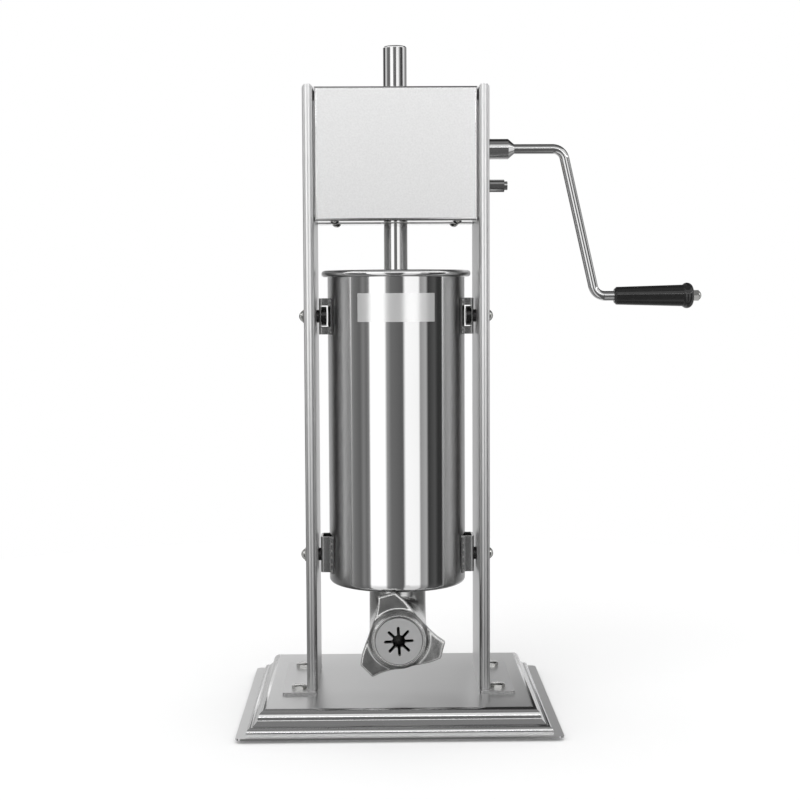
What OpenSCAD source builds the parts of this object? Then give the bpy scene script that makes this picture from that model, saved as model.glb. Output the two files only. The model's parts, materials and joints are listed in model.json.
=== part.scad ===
// Hand-cranked churro maker: a piston on a toothed rod is driven down an upright cylinder.
// The origin is the middle of the base, at the bottom of the feet. X is to the right, the spout faces -Y.

/* [Base tray] */
// Width of the flat top outside a foot plate
deck_side = 11.7; // [8:0.1:20]
// Depth of the flat top before and behind a foot plate
deck_end = 48.9; // [42:0.1:60]
// Height of the flat top above the flange's underside
base_h = 23.5; // [23:0.5:27]
// Sheet thickness of the tray
tray_t = 1.5; // [1:0.1:2]
// Width of the flat flange round the moulding
flange_w = 9.5; // [7:0.5:12]
// Thickness of the flange's hemmed edge
flange_t = 2; // [1.6:0.1:2.6]
// Corner radius of the flange
flange_corner_r = 5; // [3:0.5:6.5]
// Radius of the lower convex bead
bead_r = 5.3; // [4.5:0.1:6]
// Height of the bead above the flange's underside
bead_top = 8.8; // [8.2:0.1:9.3]
// Width of the ledge between the bead and the cove
ledge_w = 0.5; // [0.3:0.1:2]
// Radius of the cove
cove_r = 4.8; // [4:0.1:5.3]
// Radius of the roll round the flat top
roll_r = 9; // [7.5:0.1:9.5]

/* [Feet] */
// Radius of a rubber foot
foot_r = 12; // [9:0.5:14]
// Height of the flange above the table
foot_stand = 3; // [2:0.5:5]
// Radius of the screw hole up the middle of a foot
foot_hole_r = 3.2; // [2.2:0.1:4.5]
// Depth of the screw hole
foot_hole_depth = 16; // [8:1:20]
// Distance from the flange's edges to the middle of a foot
foot_inset = 44; // [42:1:56]

/* [Uprights] */
// Distance between the cylinder and an upright
upright_clear = 11.2; // [10.2:0.1:14]
// Thickness of an upright's flat tube
upright_t = 10.7; // [9:0.1:12]
// Wall of the tube
upright_wall = 1.5; // [1:0.1:2]
// Radius of the tube's top corners
upright_top_r = 4; // [2:0.5:4.5]
// Thickness of a foot plate
foot_plate_t = 2.5; // [2:0.1:4]
// Width of the foot plate outside the upright
foot_plate_out = 24.3; // [22:0.1:28]
// Length of the foot plate past the upright, at each end
foot_plate_past = 3.5; // [2:0.5:8]

/* [Base bolts] */
// Radius of a base bolt's shank
base_bolt_r = 4; // [3:0.1:4.5]
// Distance of the base bolts from the upright
base_bolt_out = 8.3; // [8:0.1:11]
// Spacing of the two bolts of one foot plate, front to back
base_bolt_pitch = 92; // [80:1:100]

/* [Cylinder] */
// Outer diameter of the cylinder
cyl_od = 140; // [138:0.5:142]
// Wall of the cylinder
cyl_wall = 1; // [0.8:0.1:1.5]
// Height of the cylinder, floor to rim
cyl_h = 320; // [260:1:360]
// Height of the cylinder's floor above the table
cyl_z = 130; // [126:1:150]
// Thickness of the cylinder's floor
cyl_floor_t = 1.5; // [1:0.1:2]
// Outer radius of the corner round the floor
cyl_corner_r = 5; // [4:0.5:9]
// Radius of the rolled rim
rim_r = 3.5; // [2.5:0.1:4]

/* [Brackets and hooks] */
// Distance of the upper hooks below the rim
hook_drop = 46.5; // [38:0.5:80]
// Distance of the lower hooks above the cylinder's floor
hook_rise = 28; // [26:0.5:60]
// Depth of a bracket, front to back
bracket_d = 29; // [27:0.5:34]
// Height of a bracket
bracket_h = 36.5; // [34:0.5:40]
// Sheet thickness of a bracket
bracket_t = 2; // [1.5:0.1:2.2]
// Gap between a bracket and the upright
bracket_gap = 2.7; // [2.2:0.1:3]
// Height of the window in an upper bracket
window_h = 22; // [20.5:0.1:23.5]
// Length of a bracket's weld tab round the cylinder
weld_tab_w = 13; // [8:0.5:16]
// Radius of a spool's neck
spool_neck_r = 6.5; // [5.5:0.1:7]
// Radius of a spool's head
spool_head_r = 9.8; // [9.2:0.1:9.9]
// Radius of a hook bolt's shank
hook_bolt_r = 4; // [3:0.1:4.2]

/* [Spout] */
// Outer radius of the spout's tube
spout_r = 29; // [28:0.5:30]
// Wall of the spout's tube
spout_wall = 4; // [3.5:0.1:4.5]
// Drop from the cylinder's floor to the nozzle's axis
outlet_drop = 44; // [42:0.5:50]
// Bend radius of the elbow
elbow_r = 34; // [32:0.5:38]
// Reach of the tube's end past the cylinder's wall
spout_past = 12; // [8:0.5:20]
// Step from the tube's surface down to the threaded end
thread_step = 3; // [2.5:0.1:3.5]
// Length of the threaded end
thread_len = 16; // [14.5:0.5:20]
// Wall of the threaded end
thread_wall = 3; // [2.6:0.1:4]

/* [Nozzle] */
// Length of the wing nut
nut_len = 21; // [18:0.5:22.5]
// Wall of the wing nut
nut_wall = 3.5; // [3:0.1:6]
// Reach of a wing past the nut's body
wing_past = 15; // [12:0.5:18]
// Thickness of a wing at its root
wing_t = 10; // [8:0.5:11]
// Thickness of the nut's front lip
nut_lip_t = 2.5; // [2:0.1:3]
// Step from the thread's surface in to the die's raised face
die_step = 3; // [2.6:0.1:4]
// Thickness of the die's flange
die_flange_t = 3; // [2.5:0.1:4]
// Thickness of the sealing washer behind the die
gasket_t = 1.5; // [1:0.1:2]
// Number of rays of the star
star_rays = 8; // [5:1:9]
// Reach of a ray from the star's centre
star_r = 14.5; // [12:0.1:16]
// Radius of the star's core
star_core_r = 6.5; // [6.2:0.1:8]
// Width of a ray
star_ray_w = 2.9; // [2.2:0.1:3.2]

/* [Piston rod] */
// Radius of the rod
rod_r = 12; // [11:0.1:12.5]
// Height of the rod's end above the uprights when the piston is down
rod_proud = 44.5; // [30:0.5:60]
// Depth of the rack's pitch line below the rod's surface
rack_depth = 4; // [3.6:0.1:4.4]

/* [Piston] */
// Gap under the piston when it is down
piston_gap = 3.5; // [3:0.1:5]
// Gap between the piston's plates and the cylinder's wall
plate_gap = 3; // [2.6:0.1:4]
// Thickness of each plate
plate_t = 5; // [4:0.1:6]
// Thickness of the seal
seal_t = 8; // [7:0.1:10]
// Width of the seal, inside to outside
seal_w = 11; // [9:0.1:13]
// Height of the piston above the rim when it is up
piston_rise = 5; // [0:0.5:8]
// Distance of the air valve from the edge of the plates
valve_inset = 24; // [18:0.5:28]

/* [Gear train] */
// Module of the rack and its pinion
rack_module = 2; // [1.9:0.05:2.05]
// Teeth of the rack's pinion
rack_teeth = 12; // [12:1:13]
// Module of the gear pair
pair_module = 1.5; // [1.4:0.05:1.55]
// Teeth of the upper pinion
slow_teeth = 14; // [13:1:16]
// Teeth of the lower gear
fast_teeth = 36; // [32:2:38]
// Pressure angle of the teeth
pressure_angle = 25; // [24:0.5:26]
// Play between two flanks
backlash = 0.25; // [0.2:0.01:0.35]
// Face width of the rack's pinion
rack_pinion_w = 16; // [12:0.5:18]
// Face width of the lower gear
fast_gear_w = 12; // [8:0.5:14]
// Radius of the two shafts
shaft_r = 6; // [5.5:0.1:6.2]
// Height of the lower shaft above the gearbox's underside
shaft_lift = 38.5; // [36:0.5:41]

/* [Gearbox] */
// Distance between the cylinder's rim and the gearbox
gearbox_clear = 48; // [45:0.5:70]
// Height of the gearbox
gearbox_h = 131; // [128:1:140]
// Drop of the gearbox's top below the tops of the uprights
gearbox_drop = 2; // [0:0.1:4]
// Room between the lower gear and the rear cover
gear_room = 7; // [4:0.5:12]
// Distance of the covers behind the uprights' edges
cover_recess = 3; // [2:0.5:6]
// Sheet thickness of the covers
cover_t = 1.5; // [1:0.1:2]
// Sheet thickness of the chassis
chassis_t = 2.5; // [2:0.1:3]
// Outer bend radius of the covers
cover_bend_r = 3; // [2.2:0.1:4]

/* [Crank] */
// Radius of the crank's hub
hub_r = 10.4; // [9.5:0.1:11.5]
// Length of the hub
hub_len = 24; // [23.8:0.1:28]
// Radius of the crank's rod
crank_r = 5; // [4.5:0.1:5.5]
// Reach of the upper bend outside the upright
crank_out = 80.5; // [72:0.1:90]
// Throw of the crank, shaft to handle
crank_throw = 151.2; // [130:0.1:180]
// Lean of the arm from upright
crank_lean = 12.8; // [6:0.2:18]
// Bend radius of the rod
crank_bend_r = 12.5; // [12:0.5:20]
// Length of the spline on each shaft's end
spline_len = 20; // [18:0.1:20.2]

/* [Handle] */
// Length of the grip
grip_len = 82; // [74:1:96]
// Distance from the lower bend to the grip
grip_out = 19.2; // [17.5:0.1:24]
// Radius of the grip's inner end
grip_small_r = 9.2; // [8.4:0.1:9.8]
// Radius of the grip's outer end
grip_large_r = 11.3; // [10.5:0.1:12]
// Radius of the grip's collar
collar_r = 13.3; // [12.5:0.1:15]
// Radius of the spindle inside the grip
spindle_r = 4; // [3.5:0.1:4.2]

/* [Hidden] */

// Overrun of every cut, running clearance of a shaft, clearance of a bolt's hole, gap of a loose seat
over = 1;
run_gap = 0.05;
hole_gap = 0.2;
seat_gap = 0.3;
// Number of sides of a hexagon and of a round
hex_fn = 6;
$fn = 64;

// Rack and gears: where they lie sets the depth of the gearbox
addendum_share = 1;
dedendum_share = 1.2;
rack_pitch_y = rod_r - rack_depth;
rack_addendum = rack_module * addendum_share;
rack_dedendum = rack_module * dedendum_share;
rack_pitch = PI * rack_module;
rack_pinion_r = rack_module * rack_teeth / 2;
shaft_y = rack_pitch_y + rack_pinion_r;
fast_gear_tip_r = pair_module * (fast_teeth / 2 + addendum_share);
cover_y = shaft_y + fast_gear_tip_r + gear_room + cover_t;

// Heights of the base, the cylinder and the gearbox
flange_z = foot_stand;
deck_z = flange_z + base_h;
cyl_top = cyl_z + cyl_h;
gearbox_z = cyl_top + gearbox_clear;
gearbox_top = gearbox_z + gearbox_h;

// Uprights
upright_in = cyl_od / 2 + upright_clear;
upright_out = upright_in + upright_t;
upright_d = 2 * (cover_y + cover_recess);
upright_z = deck_z + foot_plate_t;
upright_top = gearbox_top + gearbox_drop;
upright_h = upright_top - upright_z;
foot_plate_corner_r = 3;

// Base tray
moulding_w = flange_w + bead_r + ledge_w + cove_r + roll_r;
base_w = 2 * (upright_out + foot_plate_out + deck_side + moulding_w);
base_d = upright_d + 2 * (foot_plate_past + deck_end + moulding_w);

// Base bolts
base_bolt_x = upright_out + base_bolt_out;
base_bolt_af = 3.25 * base_bolt_r;
base_bolt_head_h = 0.95 * base_bolt_r;
base_nut_h = 1.6 * base_bolt_r;
base_washer_r = 2.2 * base_bolt_r;
base_washer_t = 1.6;
base_bolt_tip = 2;
// Shares of a hexagon head's width: outside of its chamfer, and its top face; then the chamfer's slope
chamfer_out_share = 0.6;
chamfer_in_share = 0.46;
chamfer_slope = 30;

// Cylinder
cyl_r = cyl_od / 2;
cyl_in_r = cyl_r - cyl_wall;
rim_inset = 0.1;
floor_skirt_h = 4;
hook_upper_z = cyl_top - hook_drop;
hook_lower_z = cyl_z + hook_rise;

// Brackets and spools
web_out = upright_in - bracket_gap;
web_in = web_out - bracket_t;
bracket_bend_r = 1.5 * bracket_t;
bracket_in_r = 0.6 * bracket_t;
skin_gap = 0.05;
slot_gap = 0.5;
slot_half = spool_neck_r + slot_gap;
lower_bracket_lift = 1.75;
spool_end_gap = 1.2;
spool_head_x0 = cyl_r + spool_end_gap;
spool_head_x1 = web_in - seat_gap;
hook_head_h = 3;
hook_head_af = 3.25 * hook_bolt_r;
hook_recess_r = 1.95 * hook_bolt_r;
hook_washer_r = 1.9 * hook_bolt_r;
hook_washer_t = 1;
acorn_hex_h = 2.4;
acorn_dome_r = 1.5 * hook_bolt_r;
acorn_dome_h = hook_bolt_r;
hook_bolt_tip = acorn_hex_h;

// Spout and nozzle
nozzle_z = cyl_z - outlet_drop;
spout_reach = cyl_r + spout_past;
spout_bore_r = spout_r - spout_wall;
thread_r = spout_r - thread_step;
thread_bore_r = thread_r - thread_wall;
die_face_r = thread_r - die_step;
nut_body_r = thread_r + nut_wall;
wing_r = nut_body_r + wing_past;
gasket_y = -spout_reach;
die_back_y = gasket_y - gasket_t;
die_flange_y = die_back_y - die_flange_t;
nut_front_y = die_flange_y - nut_lip_t;
nut_back_y = nut_front_y + nut_len;
die_proud = 0.5;
die_face_y = nut_front_y - die_proud;
die_gap = 0.4;
nut_bore_r = thread_r + 2 * run_gap;
nut_rim_w = 2.4;
nut_nose_r = die_face_r + die_gap + nut_rim_w;
nut_nose_len = 7;
nut_step_len = 1.5;
nut_step_w = 0.8;
star_turn = 2.7;
wing_set_back = 9;
wing_turn = -15;
// Wing outline over a third of a turn: degrees from the wing's middle, and share of the wing's rise
wing_outline_shares = [[-60, 0], [-46, 0.07], [-34, 0.27], [-22, 0.6], [-10.5, 1],
    [10.5, 1], [17, 0.56], [24, 0.31], [33, 0.12], [45, 0.03]];

// Gearbox
cover_side_gap = 1;
cover_half = upright_in - cover_side_gap;
cover_side_w = 5.4;
cover_seam = 0.2;
chassis_z = gearbox_z + cover_t;
floor_top = chassis_z + chassis_t;
chassis_d = cover_y - cover_side_w - seat_gap;
chassis_side_drop = 13;
chassis_side_h = gearbox_top - chassis_side_drop - chassis_z;
chassis_bend_r = 1.6 * chassis_t;
guide_drop = 9;
guide_t = 3;
guide_half_d = 22;
guide_z = gearbox_top - guide_drop - guide_t;
bearing_plate_t = 3;
bearing_foot_w = 18;
bearing_foot_d = 26;
bearing_x = -22;
bearing_plate_h = 95;
cover_screw_side = 20.2;
cover_screw_end = 19.5;
cover_screw_x = upright_in - cover_screw_side;
cover_screw_y = cover_y - cover_screw_end;
cover_screw_r = 2.5;
cover_screw_head_r = 4.6;
cover_screw_head_h = 3;
cover_nut_h = 4;
cover_nut_af = 8;
chassis_bolt_r = 3;
chassis_bolt_head_h = 4;
chassis_bolt_af = 10;
chassis_bolt_tip = 0.7;
chassis_nut_len = 7.5;
chassis_nut_r = 1.45 * chassis_bolt_r;
chassis_nut_bulge_r = 2.05 * chassis_bolt_r;
chassis_bolt_end = 15;
chassis_bolt_drop = 25;
chassis_bolt_y = cover_y - chassis_bolt_end;
chassis_bolt_low = 13;
chassis_bolt_high = gearbox_h - chassis_bolt_drop;

// Rod, rack and guides
rod_travel = cyl_h - cyl_floor_t - piston_gap + piston_rise;
rod_top = upright_top + rod_proud;
rod_edge_r = 2;
bush_wall = 3;
bush_flange_w = 4;
bush_flange_t = 2;
lower_bush_len = 14;
upper_bush_r = rod_r + bush_wall;
cover_lap_gap = 6;
cover_lap_y = upper_bush_r + cover_lap_gap;
rack_spare_gaps = 3;
rack_low_gaps = ceil(rod_travel / rack_pitch) + rack_spare_gaps;
rack_high_gaps = rack_spare_gaps;

// Shafts and gears
fast_z = gearbox_z + shaft_lift;
slow_z = fast_z + pair_module * (slow_teeth + fast_teeth) / 2;
fast_gear_gap = 10;
fast_gear_x = rod_r + fast_gear_gap;
pinion_past = 1;
slow_pinion_x = fast_gear_x - pinion_past;
slow_pinion_w = fast_gear_w + 2 * pinion_past;
gear_hub_r = 1.9 * shaft_r;
fast_gear_web_w = 0.55 * fast_gear_w;
shaft_bush_wall = 3;
shaft_bush_r = shaft_r + run_gap + shaft_bush_wall;
shaft_bush_flange_r = shaft_bush_r + shaft_bush_wall;
shaft_bush_flange_t = 1.5;
bush_seat_gap = 0.02;
shaft_past = 4;
shaft_left_x = bearing_x - bearing_plate_t - shaft_past;
key_w = 3.5;
key_low_r = 0.7 * shaft_r;
key_high_r = 1.28 * shaft_r;
key_gap = 0.05;
key_inset = 2;
rack_key_x = [key_inset - rack_pinion_w / 2, rack_pinion_w / 2 - key_inset];
gear_key_x = [fast_gear_x + key_inset, fast_gear_x + fast_gear_w - key_inset];
slow_key_x = [slow_pinion_x + key_inset, slow_pinion_x + slow_pinion_w - key_inset];
ring_t = 1;
ring_depth = 0.5;
ring_r = 1.4 * shaft_r;
ring_split_w = 3;
ring_left_x = bearing_x - bearing_plate_t - ring_t - seat_gap;
ring_right_x = upright_in - chassis_t - shaft_bush_flange_t - ring_t - seat_gap;

// Spline on the shafts' ends
spline_x = upright_out + seat_gap;
spline_teeth = 8;
spline_tip_r = 1.09 * shaft_r;
spline_root_r = 0.93 * shaft_r;
spline_tip_share = 0.26;
spline_root_share = 0.36;
spline_gap = 0.08;
stub_tip_r = 0.75 * shaft_r;
stub_tip_len = 3.3;

// Piston
piston_z = cyl_z + cyl_floor_t + piston_gap;
seal_z = piston_z + plate_t;
top_plate_z = seal_z + seal_t;
piston_top = top_plate_z + plate_t;
plate_r = cyl_in_r - plate_gap;
valve_reach = plate_r - valve_inset;
plate_edge_r = 1.5;
seal_r = cyl_in_r - 2 * run_gap;
seal_in_r = seal_r - seal_w;
seal_groove_r = 2.4;
rod_end_r = 0.66 * rod_r;
piston_nut_h = 8;
piston_nut_af = 2 * rod_r;

// Air valve
valve_shank_r = 5;
valve_hex_af = 13;
valve_hex_h = 5;
valve_neck_h = 2;
valve_neck_r = 4.4;
valve_stem_r = 2;
valve_seat_h = 6;
valve_seat_r = 3.8;
valve_head_t = 2.2;
valve_travel = 2.5;
valve_knob_r = 6;
valve_knob_h = 4;
valve_spring_h = 7;
valve_top = piston_top + valve_hex_h + valve_neck_h;
valve_knob_z = valve_top + valve_spring_h;
spring_wire_r = 0.45;
spring_coil_r = 3.4;
spring_turns = 4;
spring_steps = 14;
spring_sides = 6;

// Crank and grip
crank_x = upright_out + seat_gap;
hub_cone_len = 6.2;
hub_end = crank_x + hub_len;
upper_corner_x = upright_out + crank_out;
lower_corner_x = upper_corner_x + crank_throw * tan(crank_lean);
crank_turn = 90 - crank_lean;
bend_back = crank_bend_r * tan(crank_turn / 2);
bend_thinning = 0.05;
bend_lap = 0.5;
arm_len = crank_throw / cos(crank_lean) - 2 * bend_back;
handle_z = slow_z - crank_throw;
grip_x = lower_corner_x + grip_out;
grip_end = grip_x + seat_gap + grip_len;
grip_nose_len = 2.2;
grip_nose_r = grip_small_r - grip_nose_len;
collar_edge_r = 6.3;
spindle_tip = 5;
grip_nut_af = 11;
grip_nut_h = 5.2;
grip_nut_dome_h = 3.4;

// Helper shapes

// A 2-D shape drawn in Y and Z, stretched along X
module along_x(x0, x1) {
    translate([x0, 0, 0]) rotate([90, 0, 90]) linear_extrude(x1 - x0) children();
}

// A 2-D shape drawn in X and Z, stretched along Y
module along_y(y0, y1) {
    translate([0, y1, 0]) rotate([90, 0, 0]) linear_extrude(y1 - y0) children();
}

// A 2-D shape drawn in X and Y, stretched along Z
module along_z(z0, z1) {
    translate([0, 0, z0]) linear_extrude(z1 - z0) children();
}

module rod_x(r, x0, x1) {
    translate([x0, 0, 0]) rotate([0, 90, 0]) cylinder(r = r, h = x1 - x0);
}

module rod_z(r, z0, z1) {
    translate([0, 0, z0]) cylinder(r = r, h = z1 - z0);
}

module box(x, y, z) {
    translate([x[0], y[0], z[0]]) cube([x[1] - x[0], y[1] - y[0], z[1] - z[0]]);
}

module both_sides() {
    children();
    mirror([1, 0, 0]) children();
}

module rounded_rect(w, d, r) {
    square([w - 2 * r, d], center = true);
    square([w, d - 2 * r], center = true);
    for (x = [-1, 1], y = [-1, 1]) translate([x * (w / 2 - r), y * (d / 2 - r)]) circle(r);
}

module ring_2d(r_out, r_in) {
    difference() {
        circle(r_out);
        circle(r_in);
    }
}

// A hexagon with the given width across its flats
module hexagon(af) {
    circle(d = af / cos(180 / hex_fn), $fn = hex_fn);
}

// A hexagon head with a chamfer round its top
module hex_head(af, h) {
    out_r = chamfer_out_share * af;
    in_r = chamfer_in_share * af;
    intersection() {
        linear_extrude(h) hexagon(af);
        rotate_extrude()
            polygon([[0, 0], [out_r, 0], [out_r, h - (out_r - in_r) * tan(chamfer_slope)],
                [in_r, h], [0, h]]);
    }
}

// A cap of a sphere: r is its foot's radius, h its height
module dome(r, h) {
    ball_r = (r * r + h * h) / (2 * h);
    rotate_extrude() intersection() {
        translate([0, h - ball_r]) circle(ball_r);
        square([r, h]);
    }
}

// Gear geometry

function involute_turn(a) = tan(a) * 180 / PI - a;

// Half of a tooth's angle at radius r
function tooth_half(m, teeth, r) =
    let (pitch_r = m * teeth / 2, base_r = pitch_r * cos(pressure_angle))
    90 / teeth - backlash / 2 / pitch_r * 180 / PI + involute_turn(pressure_angle)
        - involute_turn(acos(min(1, base_r / r)));

function gear_points(m, teeth, phase) =
    let (
        pitch_r = m * teeth / 2,
        base_r = pitch_r * cos(pressure_angle),
        root_r = pitch_r - m * dedendum_share,
        tip_r = pitch_r + m * addendum_share,
        start_r = max(root_r, base_r),
        flank = concat(root_r < base_r ? [root_r] : [],
            [for (i = [0:4]) start_r + (tip_r - start_r) * i / 4]),
        last = len(flank) - 1
    )
    [for (t = [0:teeth - 1], side = [-1, 1], i = [0:last])
        let (
            r = side < 0 ? flank[i] : flank[last - i],
            a = phase + 360 * t / teeth + side * tooth_half(m, teeth, max(r, base_r))
        )
        r * [cos(a), sin(a)]];

// Outline of what is cut from the rod's back to leave the rack, in Y and Z
function rack_cut_points() =
    let (
        half = rack_pitch / 4 + backlash / 2,
        tip_half = half + rack_addendum * tan(pressure_angle),
        root_half = half - rack_dedendum * tan(pressure_angle),
        tip_y = rack_pitch_y + rack_addendum,
        root_y = rack_pitch_y - rack_dedendum,
        low_z = fast_z - rack_low_gaps * rack_pitch - tip_half,
        high_z = fast_z + rack_high_gaps * rack_pitch + tip_half
    )
    concat(
        [[rod_r + over, low_z]],
        [for (k = [-rack_low_gaps:rack_high_gaps], p = [[tip_y, -tip_half], [root_y, -root_half],
            [root_y, root_half], [tip_y, tip_half]]) [p[0], fast_z + k * rack_pitch + p[1]]],
        [[rod_r + over, high_z]]
    );

// Spline outline, larger all round by the given gap
function spline_points(gap) =
    [for (t = [0:spline_teeth - 1],
        p = [[-spline_root_share, spline_root_r], [-spline_tip_share, spline_tip_r],
            [spline_tip_share, spline_tip_r], [spline_root_share, spline_root_r]])
        let (
            r = p[1] + gap,
            a = (t + p[0]) * 360 / spline_teeth + sign(p[0]) * gap / r * 180 / PI
        )
        r * [cos(a), sin(a)]];

// Base

// Half of the tray's outline: a is half its width, t is the distance inside the outer skin
module tray_half(a, t) {
    roll_x = a - moulding_w;
    cove_x = roll_x + roll_r + cove_r;
    bead_x = cove_x + ledge_w;
    square([roll_x, base_h - t]);
    translate([roll_x, base_h - roll_r]) circle(roll_r - t);
    square([roll_x + roll_r - t, base_h - roll_r]);
    difference() {
        square([cove_x, bead_top + cove_r]);
        translate([cove_x, bead_top + cove_r]) circle(cove_r + t);
    }
    square([bead_x, bead_top - t]);
    translate([bead_x, bead_top - bead_r]) circle(bead_r - t);
    square([bead_x + bead_r - t, bead_top - bead_r]);
}

module tray_outline(w, t) {
    tray_half(w / 2, t);
    mirror([1, 0]) tray_half(w / 2, t);
}

module tray_skin() {
    intersection() {
        along_y(-base_d / 2, base_d / 2) {
            tray_outline(base_w, 0);
            translate([-base_w / 2, 0]) square([base_w, flange_t]);
        }
        along_x(-base_w / 2, base_w / 2) {
            tray_outline(base_d, 0);
            translate([-base_d / 2, 0]) square([base_d, flange_t]);
        }
        along_z(0, base_h) rounded_rect(base_w, base_d, flange_corner_r);
    }
}

module at_base_bolts() {
    for (x = [-1, 1], y = [-1, 1]) translate([x * base_bolt_x, y * base_bolt_pitch / 2, 0]) children();
}

module base_tray() {
    rim_in_w = base_w - 2 * (flange_w + tray_t);
    rim_in_d = base_d - 2 * (flange_w + tray_t);
    color("silver") difference() {
        translate([0, 0, flange_z]) difference() {
            tray_skin();
            translate([0, 0, -over]) intersection() {
                along_y(-base_d / 2, base_d / 2) {
                    translate([0, over]) tray_outline(base_w, tray_t);
                    translate([-rim_in_w / 2, 0]) square([rim_in_w, 2 * over]);
                }
                along_x(-base_w / 2, base_w / 2) {
                    translate([0, over]) tray_outline(base_d, tray_t);
                    translate([-rim_in_d / 2, 0]) square([rim_in_d, 2 * over]);
                }
            }
        }
        at_base_bolts() rod_z(base_bolt_r + hole_gap, deck_z - tray_t - over, deck_z + over);
    }
}

module rubber_feet() {
    color("dimgray") for (x = [-1, 1], y = [-1, 1])
        translate([x * (base_w / 2 - foot_inset), y * (base_d / 2 - foot_inset), 0]) difference() {
            rod_z(foot_r, 0, deck_z - tray_t);
            rod_z(foot_hole_r, -over, foot_hole_depth);
        }
}

module base_bolts() {
    color("gainsboro") at_base_bolts() {
        translate([0, 0, upright_z]) hex_head(base_bolt_af, base_bolt_head_h);
        rod_z(base_bolt_r, deck_z - tray_t - base_washer_t - base_nut_h - base_bolt_tip, upright_z);
    }
}

module base_washers() {
    z1 = deck_z - tray_t;
    color("gainsboro") at_base_bolts() along_z(z1 - base_washer_t, z1)
        ring_2d(base_washer_r, base_bolt_r + hole_gap);
}

module base_nuts() {
    z1 = deck_z - tray_t - base_washer_t;
    color("gainsboro") at_base_bolts() along_z(z1 - base_nut_h, z1) difference() {
        hexagon(base_bolt_af);
        circle(base_bolt_r + run_gap);
    }
}

// Uprights

module flat_tube(w, d) {
    square([w, d - w], center = true);
    for (y = [-1, 1]) translate([0, y * (d - w) / 2]) circle(d = w);
}

module upright_tube() {
    difference() {
        intersection() {
            along_z(upright_z, upright_top) flat_tube(upright_t, upright_d);
            along_y(-upright_d / 2, upright_d / 2) {
                translate([-upright_t / 2, upright_z]) square([upright_t, upright_h - upright_top_r]);
                translate([-upright_t / 2 + upright_top_r, upright_z])
                    square([upright_t - 2 * upright_top_r, upright_h]);
                for (x = [-1, 1])
                    translate([x * (upright_t / 2 - upright_top_r), upright_top - upright_top_r])
                        circle(upright_top_r);
            }
        }
        along_z(upright_z - over, upright_top - 2 * upright_wall)
            flat_tube(upright_t - 2 * upright_wall, upright_d - 2 * upright_wall);
    }
}

module foot_plate() {
    w = upright_t + foot_plate_out;
    d = upright_d + 2 * foot_plate_past;
    difference() {
        translate([upright_in + w / 2, 0, 0]) along_z(deck_z, upright_z)
            rounded_rect(w, d, foot_plate_corner_r);
        at_base_bolts() rod_z(base_bolt_r + hole_gap, deck_z - over, upright_z + over);
    }
}

module at_chassis_bolts() {
    for (y = [-1, 1], z = [chassis_bolt_low, chassis_bolt_high])
        translate([0, y * chassis_bolt_y, gearbox_z + z]) children();
}

module at_hooks() {
    for (z = [hook_lower_z, hook_upper_z]) translate([0, 0, z]) children();
}

module at_shafts() {
    for (z = [fast_z, slow_z]) translate([0, shaft_y, z]) children();
}

// The right-hand upright; the left one is its mirror image without the shafts' holes
module upright(shaft_holes) {
    difference() {
        union() {
            translate([upright_in + upright_t / 2, 0, 0]) upright_tube();
            foot_plate();
        }
        at_hooks() rod_x(hook_bolt_r + hole_gap, upright_in - over, upright_out + over);
        at_chassis_bolts()
            rod_x(chassis_nut_r + run_gap, upright_in - over, upright_in + upright_wall + over);
        if (shaft_holes) at_shafts()
            rod_x(shaft_bush_r + bush_seat_gap, upright_in - over, upright_out + over);
    }
}

module left_upright() {
    color("silver") mirror([1, 0, 0]) upright(false);
}

module right_upright() {
    color("silver") upright(true);
}

// Gearbox housing

module chassis_outline(inset) {
    w = upright_in - inset;
    r = chassis_bend_r - inset;
    h = chassis_side_h + (inset > 0 ? over : 0);
    translate([-w, chassis_bend_r]) square([2 * w, h - chassis_bend_r]);
    translate([-w + r, inset]) square([2 * (w - r), chassis_bend_r]);
    for (x = [-1, 1]) translate([x * (w - r), chassis_bend_r]) circle(r);
}

module at_cover_screws() {
    for (x = [-1, 1], y = [-1, 1]) translate([x * cover_screw_x, y * cover_screw_y, 0]) children();
}

module gearbox_chassis() {
    color("lightgray") difference() {
        along_y(-chassis_d, chassis_d) translate([0, chassis_z]) difference() {
            chassis_outline(0);
            chassis_outline(chassis_t);
        }
        rod_z(rod_r + bush_wall + bush_seat_gap, chassis_z - over, floor_top + over);
        at_cover_screws() rod_z(cover_screw_r + hole_gap, chassis_z - over, floor_top + over);
        both_sides() at_chassis_bolts()
            rod_x(chassis_bolt_r + hole_gap, upright_in - chassis_t - over, upright_in + over);
        at_shafts() rod_x(shaft_bush_r + bush_seat_gap, upright_in - chassis_t - over, upright_in + over);
    }
}

module rod_guide_plate() {
    w = upright_in - chassis_t;
    color("lightgray") difference() {
        union() {
            box([-w, w], [-guide_half_d, guide_half_d], [guide_z, guide_z + guide_t]);
            both_sides() box([w - guide_t, w], [-guide_half_d, guide_half_d],
                [guide_z - 2 * guide_t, guide_z + guide_t]);
        }
        rod_z(upper_bush_r + bush_seat_gap, guide_z - over, guide_z + guide_t + over);
    }
}

module left_bearing_plate() {
    x0 = bearing_x - bearing_plate_t;
    color("lightgray") difference() {
        union() {
            box([x0, bearing_x], [shaft_y - bearing_foot_d, shaft_y + bearing_foot_d],
                [floor_top, floor_top + bearing_plate_h]);
            box([x0 - bearing_foot_w, x0], [shaft_y - bearing_foot_d, shaft_y + bearing_foot_d],
                [floor_top, floor_top + bearing_plate_t]);
        }
        at_shafts() rod_x(shaft_bush_r + bush_seat_gap, x0 - over, bearing_x + over);
        for (y = [-1, 1]) translate([0, shaft_y + y * bearing_foot_d, floor_top + bearing_plate_h])
            rotate([45, 0, 0]) cube([4 * bearing_foot_w, bearing_foot_w, bearing_foot_w], center = true);
    }
}

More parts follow.
